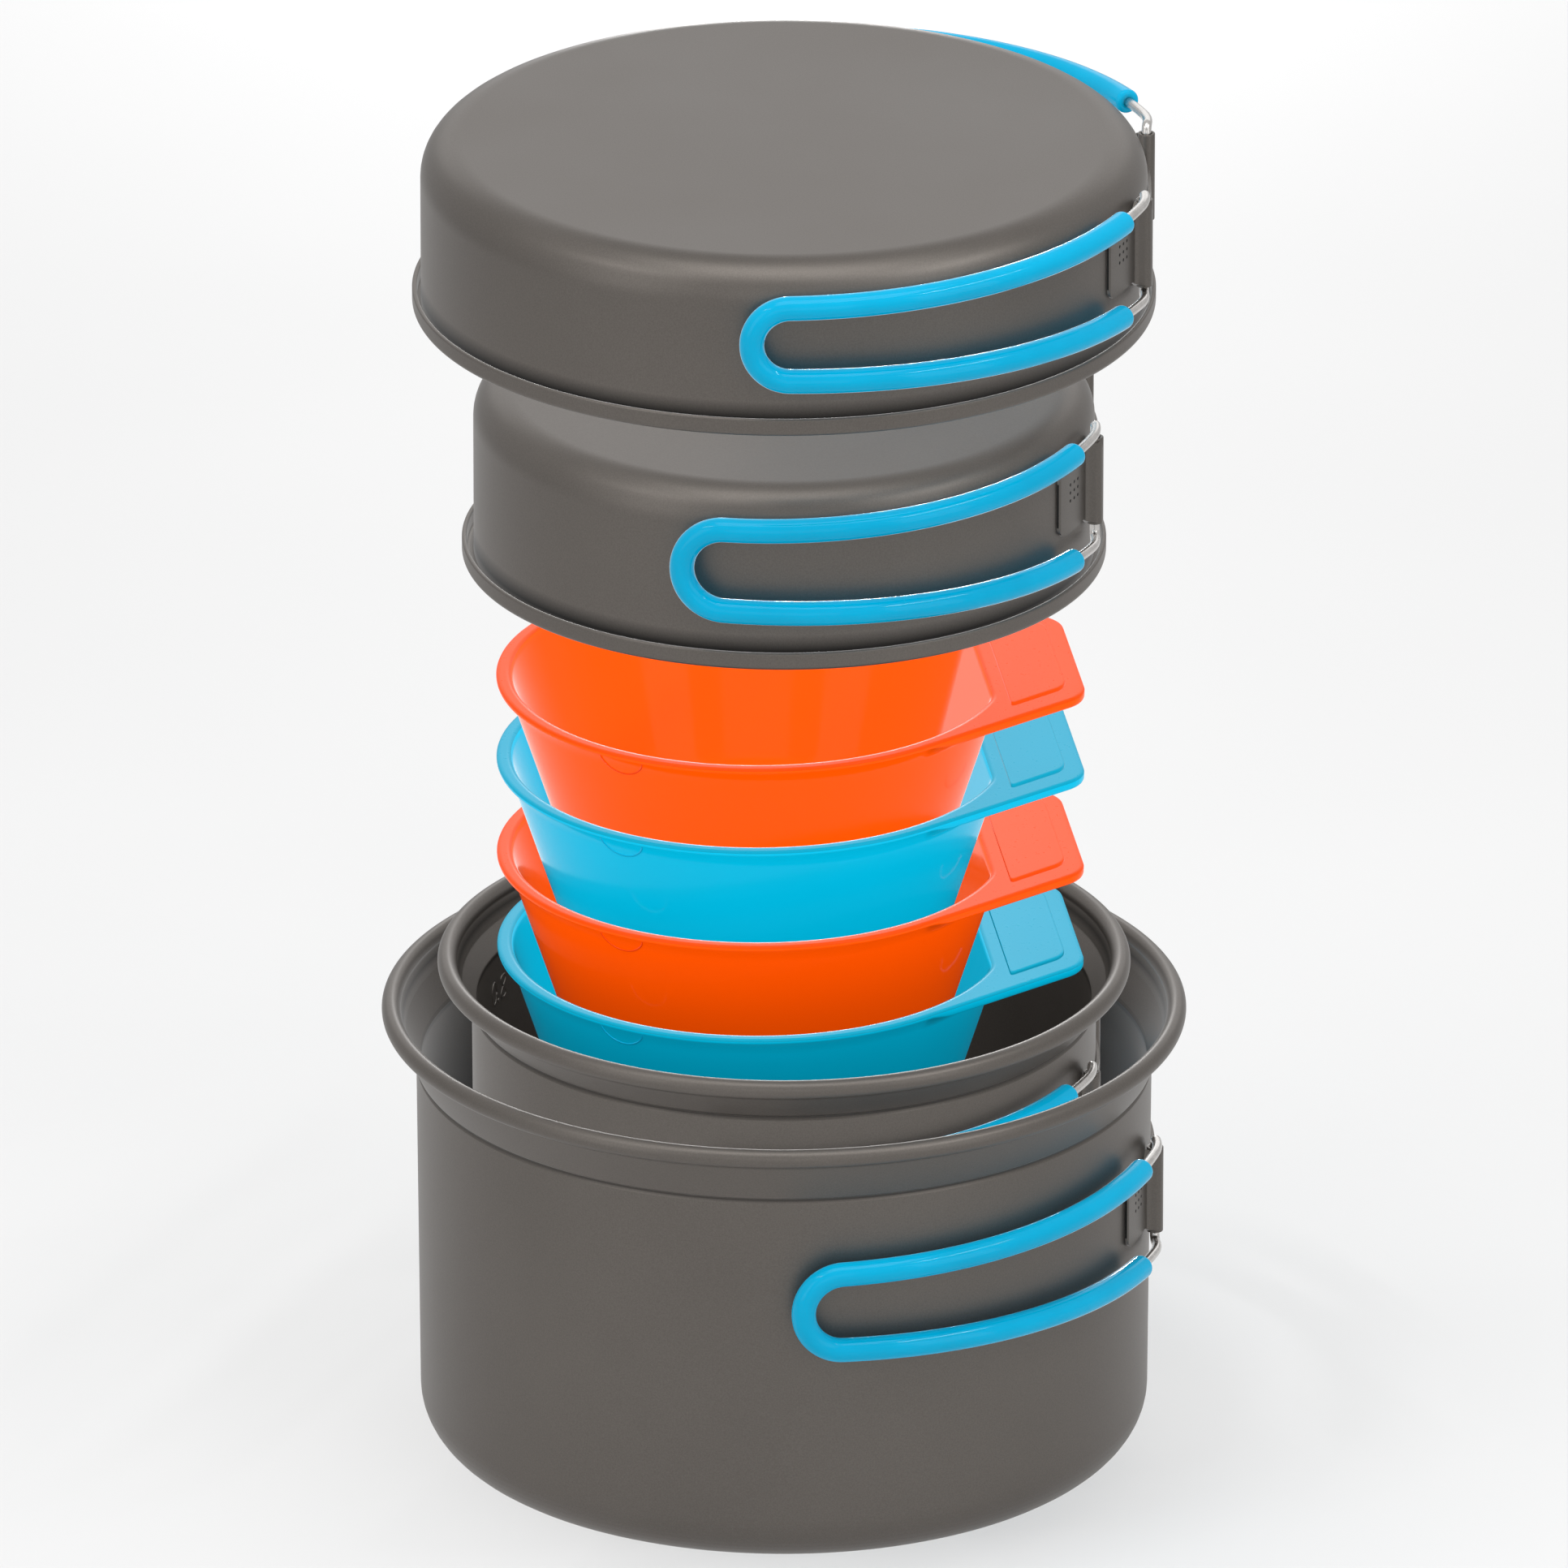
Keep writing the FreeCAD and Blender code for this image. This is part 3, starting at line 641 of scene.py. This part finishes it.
def handle_path(d, side):
    """Half a handle's centre line: its bare wire, then the sleeved run to the tip of its loop.

    Each arm turns down out of its knuckle, joggles out from the wall, and follows the wall on a
    slightly tilted circle to a round loop that joins the two arms.
    """
    knuckle, around = d["wall"] + KNUCKLE_STAND, d["wall"] + ARM_STAND
    inset = around - JOGGLE
    reach = hypot(JOGGLE, JOGGLE_RUN)
    swing = acos((knuckle**2 - inset**2 - reach**2) / (2 * inset * reach))
    swing -= atan2(JOGGLE_RUN, JOGGLE)
    back_run = JOGGLE * sin(swing) + JOGGLE_RUN * cos(swing)
    knuckle_at = asin(KNUCKLE_OFFSET / knuckle)
    start = -knuckle_at - atan2(back_run, inset + JOGGLE * cos(swing) - JOGGLE_RUN * sin(swing))
    span = d["length"] / around
    lead = BARE_RUN / around
    tilt = asin((d["arm"] - d["loop"]) / (back_run + around * sin(span)))

    hand = 1 if side == "front" else -1
    out = Vector((cos(start), hand * sin(start), 0))
    along = Vector((sin(start), -hand * cos(start), 0)) * cos(tilt) - UP * sin(tilt)
    middle = UP * (d["arm"] - back_run * sin(tilt))
    joggle_middle = middle + out * inset
    heading = out * -sin(swing) - along * cos(swing)
    joggle_end = joggle_middle + (out * cos(swing) - along * sin(swing)) * JOGGLE
    corner = joggle_end + heading * JOGGLE_RUN
    half_turn = heading.angle(-UP) / 2
    leg = BEND * tan(half_turn)
    bend_middle = corner + (-heading - UP).normalized() * (BEND / cos(half_turn))

    bare = [corner - UP * (leg + GRIP), corner - UP * (leg + GRIP / 2)]
    first = corner - UP * leg - bend_middle
    axis = UP.cross(-heading).normalized()
    for k in range(BEND_STEPS + 1):
        turn = Matrix.Rotation(2 * half_turn * k / BEND_STEPS, 3, axis)
        bare.append(bend_middle + turn @ first)
    bare += [
        joggle_middle + (out * cos(a) - along * sin(a)) * JOGGLE
        for a in (swing * (1 - k / JOGGLE_STEPS) for k in range(JOGGLE_STEPS))
    ]

    def on_arm(angle):
        return middle + (out * cos(angle) + along * sin(angle)) * around

    bare += [on_arm(lead * k / LEAD_STEPS) for k in range(LEAD_STEPS)]
    stations = ceil((span - lead) * around / STATION)
    sleeved = [on_arm(lead + (span - lead) * k / stations) for k in range(stations + 1)]
    tangent = out * -sin(span) + along * cos(span)
    level = Vector((tangent.x, tangent.y, 0)).normalized()
    slope = -asin(tangent.z)
    end = sleeved[-1]
    radius = end.z / cos(slope)
    loop_middle = end + (level * -sin(slope) - UP * cos(slope)) * radius
    start_angle = atan2((end - loop_middle).z, (end - loop_middle).dot(level))
    for k in range(1, LOOP_STEPS + 1):
        a = start_angle * (1 - k / LOOP_STEPS)
        sleeved.append(loop_middle + (level * cos(a) + UP * sin(a)) * radius)
    return bare, sleeved


def mirrored(points):
    return [Vector((p.x, p.y, -p.z)) for p in reversed(points)]


def raise_handle(vessel, side, d):
    place = placed(d)
    body = f"{vessel}_{side}_handle"
    bare, sleeved = handle_path(d, side)
    whole = sleeved + mirrored(sleeved)[1:]
    verts, faces = swept([place @ p for p in bare + whole + mirrored(bare)], WIRE, ring=20)
    piece(f"{body}_wire_bar", verts, faces, body, BRIGHT, f"{body}_wire", sharp=60)
    verts, faces = sleeve_mesh([place @ p for p in whole])
    piece(f"{body}_sleeve_skin", verts, faces, body, TUBING, f"{body}_sleeve")


def sleeve_mesh(path, ring=32):
    """A sleeve over the wire: a bore just inside each end, a cut face, a rounded lip, the run."""
    bore, bore_deep = WIRE + 0.02, 2
    head = (path[1] - path[0]).normalized()
    tail = (path[-2] - path[-1]).normalized()
    steps = [SLEEVE_END * (1 - cos(radians(a))) for a in (0, 22, 45, 67, 90)]
    lips = [SLEEVE - SLEEVE_END + sqrt(SLEEVE_END**2 - (SLEEVE_END - s) ** 2) for s in steps]
    lead = [path[0] + head * s for s in [bore_deep, 0] + steps]
    trail = [path[-1] + tail * s for s in steps[::-1] + [0, bore_deep]]
    stations = lead + path[1:-1] + trail
    plain = range(len(lead), len(stations) - len(trail))
    radii = [bore, bore] + lips + [SLEEVE] * len(plain) + lips[::-1] + [bore, bore]
    # the frame is carried along the middle of the sleeve, not round its lips
    tangents = [head] * len(lead)
    tangents += [(stations[k + 1] - stations[k - 1]).normalized() for k in plain]
    tangents += [-tail] * len(trail)
    return carried(stations, tangents, radii, ring), ring_quads(len(stations), ring)


# ---- bowls -----------------------------------------------------------------------------------

HEIGHT, WALL = 48.0, 1.2
RIM, MOUTH, FOOT = 63.7, 60.5, 44.6
FLAT_TOP, FLAT_FOOT, FLAT_CORNER = 55.6, 42.0, 12.0
BOWL_FLOOR, FOOT_ROUNDING = 1.6, 8.0
RIM_THICK, TAB_THICK = 1.5, 2.4
TAB_REACH, TAB_HALF, TAB_CORNER = 78.3, 24.8, 10.5
TAB_ROOT, TAB_ROOT_HALF = 36.3, 52.35
PAD_START, PAD_END, PAD_START_HALF, PAD_END_HALF = 58.9, 73.8, 30.5, 20.5
PAD_RISE, PAD_CORNER = 0.8, 7.0
LUG_AT, LUG_HALF, LUG_DEPTH = (26, 130, -130, -26), 6.3, 5.0
BOWL_OFFSET, BOWL_TURN = -6.7, 7.1
AROUND = [2 * pi * k / 600 for k in range(600)]
LEAN = (MOUTH - FOOT) / HEIGHT                          # the wall's slope
FLAT_SHARE = (FLAT_TOP - FLAT_FOOT) / (MOUTH - FOOT)    # how fast the flat side follows it
ROOT_ANGLE = atan2(TAB_ROOT_HALF, TAB_ROOT)
OUTER_CUP = (FOOT + WALL, FLAT_FOOT + WALL, FLAT_CORNER + WALL)
INNER_CUP = (FOOT, FLAT_FOOT, FLAT_CORNER)


def off_axis(angle):
    """How far an angle is from +X, either way round."""
    return abs((angle + pi) % (2 * pi) - pi)


def cut_round(radius, flat, corner, angle):
    """Distance from the middle to a circle with one straight side, corners rounded."""
    a = off_axis(angle)
    corner = min(corner, radius * 0.4, flat * 0.9)
    x = flat - corner
    y = sqrt(max((radius - corner) ** 2 - x**2, 0))
    if a >= atan2(y, x):
        return radius
    if a <= atan2(y, flat):
        return flat / cos(a)
    along = x * cos(a) + y * sin(a)
    return along + sqrt(max(along**2 - x * x - y * y + corner * corner, 0))


def tab_edge(angle, grown):
    """Distance from the middle to the outside of the rim and its tab."""
    a = off_axis(angle)
    if a >= ROOT_ANGLE:
        return RIM + grown
    reach, corner = TAB_REACH + grown, TAB_CORNER + grown
    # the tab's slanting side, moved out by the growth
    side = Vector((TAB_REACH - TAB_ROOT, TAB_HALF - TAB_ROOT_HALF)).normalized()
    normal = Vector((-side.y, side.x))
    level = normal.dot(Vector((TAB_REACH, TAB_HALF))) + grown
    ray = Vector((cos(a), sin(a)))
    # the rounded tip corner: a circle that touches the side and the end
    middle = Vector((reach - corner, (level - corner - normal.x * (reach - corner)) / normal.y))
    touch = middle + normal * corner
    if atan2(middle.y, reach) < a < atan2(touch.y, touch.x):
        along = middle.dot(ray)
        return along + sqrt(along**2 - middle.length_squared + corner**2)
    return min(level / normal.dot(ray), reach / ray.x)


def rim_thickness(angle):
    """The tab is thicker than the rest of the rim, with a smooth step at its root."""
    t = min(max((ROOT_ANGLE - off_axis(angle)) / 0.12, 0), 1)
    return RIM_THICK + (TAB_THICK - RIM_THICK) * t * t * (3 - 2 * t)


def cup(grown, foot, flat, corner):
    """Points round the bowl where its radius has grown by that much from its foot."""
    here = flat + grown * FLAT_SHARE if grown > 0 else flat * (foot + grown) / foot
    return [Vector((cos(a), sin(a))) * cut_round(foot + grown, here, corner, a) for a in AROUND]


def edge_point(angle, inward, z):
    out = tab_edge(angle, -inward)
    return out * cos(angle), out * sin(angle), z


def bowl_rings():
    """Closed rings of the bowl from the middle of its foot round to the middle of its floor."""
    outside = evened(rounded([
        (-FOOT - WALL + 1.5, 0, 0), (0, 0, FOOT_ROUNDING + WALL),
        (LEAN * (HEIGHT - RIM_THICK), HEIGHT - RIM_THICK, 0),
    ]), longest=4)
    rings = [[(v.x, v.y, p.y) for v in cup(p.x, *OUTER_CUP)] for p in outside]

    # under the rim, out to its edge, and back over the top
    base = list(zip(rings.pop(), AROUND))
    rings.append([(x, y, HEIGHT - rim_thickness(a) - 0.35) for (x, y, _), a in base])
    rings.append([(x * 1.006, y * 1.006, HEIGHT - rim_thickness(a)) for (x, y, _), a in base])
    soft = 0.55
    for inward, up in ((1.2, 0), (soft, 0), (0.16, 0.16), (0, soft)):
        rings.append([edge_point(a, inward, HEIGHT - rim_thickness(a) + up) for a in AROUND])
    for inward, down in ((0, soft), (0.16, 0.16), (soft, 0), (1.1, 0)):
        rings.append([edge_point(a, inward, HEIGHT - down) for a in AROUND])

    # over the lip, down the inside, and across the floor with its shallow step
    mouth, lip = LEAN * (HEIGHT - BOWL_FLOOR), 0.9
    for outward, down in ((1.4, 0), (lip, 0), (lip * 0.3, lip * 0.3), (0, lip)):
        grown = [v * (1 + outward / v.length) for v in cup(mouth - LEAN * down, *INNER_CUP)]
        rings.append([(v.x, v.y, HEIGHT - down) for v in grown])
    inside = evened(rounded([
        (mouth - LEAN * lip, HEIGHT - lip, 0), (0, BOWL_FLOOR, FOOT_ROUNDING),
        (-7.5, BOWL_FLOOR, 0.6), (-8.2, BOWL_FLOOR + 0.45, 0.4),
        (-9.6, BOWL_FLOOR + 0.45, 0.4), (-10.3, BOWL_FLOOR, 0.6),
        (-FOOT + 1.5, BOWL_FLOOR, 0),
    ]), longest=4)
    rings += [[(v.x, v.y, p.y) for v in cup(p.x, *INNER_CUP)] for p in inside[1:]]
    return rings


def bowl_mesh(rings):
    """The bowl's skin; the top of its rim and tab have the second look, a darker copy painted with
    shade.
    """
    count = len(AROUND)
    verts = [Vector(v) for ring in rings for v in ring]
    faces = ring_quads(len(rings), count)
    which = []
    for quad in faces:
        corners = [verts[i] for i in quad]
        away = sum(c.xy.length for c in corners) / len(corners)
        which.append(int(away > MOUTH - 8 and min(c.z for c in corners) > HEIGHT - 0.7))
    foot, floor = len(verts), len(verts) + 1
    last = (len(rings) - 1) * count
    for j in range(count):
        nxt = (j + 1) % count
        faces.append((foot, nxt, j))
        faces.append((floor, last + j, last + nxt))
        which += [0, 0]
    verts += [Vector((0, 0, rings[0][0][2])), Vector((0, 0, rings[-1][0][2]))]
    return verts, faces, which


def pad_mesh():
    """The raised pad on a bowl's tab, with softened edges."""
    outline = rounded([
        (PAD_START, -PAD_START_HALF, 0.6), (PAD_END, -PAD_END_HALF, PAD_CORNER),
        (PAD_END, PAD_END_HALF, PAD_CORNER), (PAD_START, PAD_START_HALF, 0.6),
    ], closed=True, step=9)
    centre = sum(outline, Vector((0, 0))) / len(outline)
    steps = ((0, -0.3), (0, PAD_RISE - 0.3), (0.09, PAD_RISE - 0.09), (0.3, PAD_RISE),
             (0.9, PAD_RISE))
    verts = []
    for inward, up in steps:
        for p in outline:
            pulled = p + (centre - p).normalized() * inward
            verts.append(Vector((pulled.x, pulled.y, HEIGHT + up)))
    count = len(outline)
    faces = ring_quads(len(steps), count)
    faces.append(tuple((len(steps) - 1) * count + j for j in range(count)))
    faces.append(tuple(range(count))[::-1])
    return verts, faces


def lug_mesh(at, place):
    """A faint half-moon line under the rim, at an angle round the bowl; it is coloured with painted
    shade.
    """
    path = []
    for k in range(-12, 13):
        angle = radians(at) + k / 12 * LUG_HALF / MOUTH
        z = HEIGHT - RIM_THICK - LUG_DEPTH * sqrt(1 - (k / 12) ** 2)
        foot, flat, corner = OUTER_CUP
        out = cut_round(foot + LEAN * z, flat + LEAN * z * FLAT_SHARE, corner, angle)
        path.append(place @ Vector((out * cos(angle), out * sin(angle), z)))
    return swept(path, 0.22, ring=8)


def raise_bowl(bowl, lift, rings):
    blue = bowl in ("bowl_1", "bowl_3")
    # tab is a darker copy painted with shade, for the tops of the rim, tab and pad
    wall, tab, line = (BLUE, BLUE_TOP_SHADE, BLUE_LUG_SHADE) if blue else (ORANGE, ORANGE_TOP_SHADE, ORANGE_LUG_SHADE)
    place = Matrix.Translation((BOWL_OFFSET, 0, lift)) @ Matrix.Rotation(
        radians(BOWL_TURN), 4, "Z")
    verts, faces, which = bowl_mesh(rings)
    piece(f"{bowl}_skin", [place @ v for v in verts], faces, bowl, (wall, tab), bowl, which)
    verts, faces = pad_mesh()
    piece(f"{bowl}_pad", [place @ v for v in verts], faces, bowl, tab, bowl, sharp=70)
    # the lugs take line, a darker copy painted with shade
    for index, at in enumerate(LUG_AT):
        verts, faces = lug_mesh(at, place)
        piece(f"{bowl}_lug_{index}", verts, faces, bowl, line, bowl)


for vessel, d in POTS.items():
    raise_shell(vessel, d, pot_outline(d))
for vessel, d in PANS.items():
    raise_shell(vessel, d, pan_outline(d))
raise_digits("medium_pot", POTS["medium_pot"])
for vessel, d in {**POTS, **PANS}.items():
    raise_bracket(vessel, d)
    for side in ("front", "back"):
        raise_handle(vessel, side, d)
rings = bowl_rings()
for bowl, lift in BOWLS.items():
    raise_bowl(bowl, lift, rings)


# ---- studio ----------------------------------------------------------------------------------

IMAGE = 1932            # pixels across the photo
PIXELS_PER_MM = 5.03    # at the camera's distance


def raise_floor():
    bpy.ops.mesh.primitive_plane_add(size=14, location=(0, 0, 0))
    floor = bpy.context.object
    floor.name = "floor"
    look = Look("pale_floor", Specular_IOR_Level=0.2, Roughness=0.7)
    drift = look.noise(3, detail=2)
    look.feed("Base Color", look.ramp(drift, (0.3, (0.74, 0.74, 0.74)), (0.7, (0.76, 0.76, 0.76))))
    floor.data.materials.append(look.material)


def softbox(name, spot, aim, width, height, power):
    lamp = bpy.data.lights.new(name, "AREA")
    lamp.shape = "RECTANGLE"
    lamp.size, lamp.size_y = width, height
    lamp.energy = power
    thing = bpy.data.objects.new(name, lamp)
    thing.location = spot
    thing.rotation_euler = (Vector(aim) - Vector(spot)).to_track_quat("-Z", "Y").to_euler()
    bpy.context.scene.collection.objects.link(thing)


def light_alone():
    """Lights the shells and bowls as if each stood alone, as in a put-together display picture."""
    for thing in bpy.data.objects:
        if not thing.name.endswith(("_skin", "_pad")):
            continue
        sleeve, medium = "sleeve" in thing.name, "medium_pot" in thing.name
        thing.visible_shadow = sleeve
        # the medium pot shades the large one's inside, but its blue sleeves don't tint it
        if sleeve == medium:
            thing.visible_glossy = thing.visible_diffuse = False


def raise_camera():
    """A long lens, far off and a little above, as in the photo."""
    aim = Vector((0, 0, 0.17102))
    away, elevation = 7.115, radians(22.345)
    lens = bpy.data.cameras.new("camera")
    lens.sensor_width = 36
    lens.lens = lens.sensor_width * PIXELS_PER_MM * (away / MM) / IMAGE
    lens.clip_end = 50
    camera = bpy.data.objects.new("camera", lens)
    camera.location = aim + Vector((0, -cos(elevation), sin(elevation))) * away
    camera.rotation_euler = (aim - camera.location).to_track_quat("-Z", "Y").to_euler()
    bpy.context.scene.collection.objects.link(camera)
    bpy.context.scene.camera = camera


def raise_world():
    world = bpy.data.worlds.new("studio")
    world.use_nodes = True
    sky = world.node_tree.nodes["Background"]
    sky.inputs["Color"].default_value = (0.93, 0.93, 0.93, 1)
    sky.inputs["Strength"].default_value = 0.78
    bpy.context.scene.world = world
    bpy.context.scene.view_settings.view_transform = "Standard"


raise_floor()
raise_camera()
light_alone()
softbox("top_box", (0, -0.3, 1.7), (0, 0, 0.2), 1.2, 0.9, 8.5)
softbox("back_box", (0, 2.6, 1.3), (0, 0, 0.25), 3.0, 1.0, 8.5)
softbox("left_box", (-1.5, -1.3, 0.8), (0, 0, 0.18), 0.9, 1.5, 4.6)
softbox("right_box", (1.5, -1.3, 0.8), (0, 0, 0.18), 0.9, 1.5, 4.6)
softbox("front_box", (0, -2.6, 0.9), (0, 0, 0.18), 1.8, 1.2, 4.6)
softbox("left_strip", (-0.85, -0.5, 1.35), (0, 0, 0.2), 0.6, 0.025, 2)
softbox("right_strip", (0.85, -0.4, 1.35), (0, 0, 0.2), 0.7, 0.025, 3.5)
softbox("left_spark", (-0.045, 1.4, 0.268), (0, 0, 0.16), 0.05, 0.05, 0.8)
softbox("right_spark", (0.03, 1.4, 0.268), (0, 0, 0.16), 0.05, 0.05, 0.8)
raise_world()
